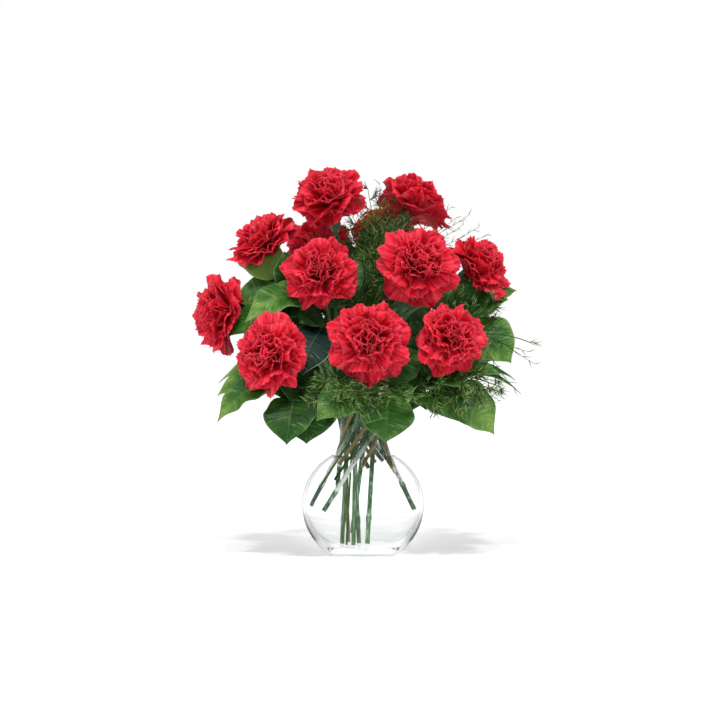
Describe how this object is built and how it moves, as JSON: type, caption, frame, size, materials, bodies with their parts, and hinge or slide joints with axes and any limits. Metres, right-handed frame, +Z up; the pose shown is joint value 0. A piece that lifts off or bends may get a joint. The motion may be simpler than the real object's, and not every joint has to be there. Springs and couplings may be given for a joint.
{
  "type": "carnations in a glass vase",
  "caption": "Loose hand-tied bunch of full, frilled carnations with glossy leaves and fern, standing in a clear round glass vase with a short flared neck.",
  "frame": {"origin": "centre of the vase's flat base, on the surface it stands on", "axes": "+Z up along the vase's axis; -Y is the side that the lower blooms face, which the viewer sees; +X is to that viewer's right"},
  "size_m": [0.337, 0.2454, 0.3925],
  "materials": {
    "clear_glass": "clear, smooth, polished glass",
    "crimson_petal": "matt velvety crimson petals, closest to thin fabric",
    "stem_green": "smooth blue-green stem and calyx with a waxy bloom",
    "branch_bark": "satin olive-brown young bark",
    "glossy_leaf": "leathery dark green leaf with a soft gloss and paler veins",
    "fern_green": "matt feathery green needles"
  },
  "bodies": {
    "root": {"glass_vase": "clear_glass", "carnation_01_stem": "stem_green", "carnation_01_bloom": "crimson_petal", "carnation_02_stem": "stem_green", "carnation_02_bloom": "crimson_petal", "carnation_03_stem": "stem_green", "carnation_03_bloom": "crimson_petal", "carnation_04_stem": "stem_green", "carnation_04_bloom": "crimson_petal", "carnation_05_stem": "stem_green", "carnation_05_bloom": "crimson_petal", "carnation_06_stem": "stem_green", "carnation_06_bloom": "crimson_petal", "carnation_07_stem": "stem_green", "carnation_07_bloom": "crimson_petal", "carnation_08_stem": "stem_green", "carnation_08_bloom": "crimson_petal", "carnation_09_stem": "stem_green", "carnation_09_bloom": "crimson_petal", "carnation_10_stem": "stem_green", "carnation_10_bloom": "crimson_petal", "carnation_11_stem": "stem_green", "carnation_11_bloom": "crimson_petal", "carnation_12_stem": "stem_green", "carnation_12_bloom": "crimson_petal", "leafy_branch_1": "branch_bark", "leaf_1a": "glossy_leaf", "leaf_1b": "glossy_leaf", "leaf_1c": "glossy_leaf", "leaf_1d": "glossy_leaf", "leafy_branch_2": "branch_bark", "leaf_2a": "glossy_leaf", "leaf_2b": "glossy_leaf", "leafy_branch_3": "branch_bark", "leaf_3a": "glossy_leaf", "leaf_3b": "glossy_leaf", "leaf_3c": "glossy_leaf", "leaf_3d": "glossy_leaf", "leafy_branch_4": "branch_bark", "leaf_4a": "glossy_leaf", "leaf_4b": "glossy_leaf", "leaf_4c": "glossy_leaf", "leafy_branch_5": "branch_bark", "leaf_5a": "glossy_leaf", "leaf_5b": "glossy_leaf", "leaf_5c": "glossy_leaf", "leaf_5d": "glossy_leaf", "leafy_branch_6": "branch_bark", "leaf_6a": "glossy_leaf", "leaf_6b": "glossy_leaf", "leaf_6c": "glossy_leaf", "leafy_branch_7": "branch_bark", "leaf_7a": "glossy_leaf", "leaf_7b": "glossy_leaf", "leaf_7c": "glossy_leaf", "leaf_7d": "glossy_leaf", "fern_spray_1": "fern_green", "fern_spray_2": "fern_green", "fern_spray_3": "fern_green", "fern_spray_4": "fern_green"}
  },
  "joints": []
}
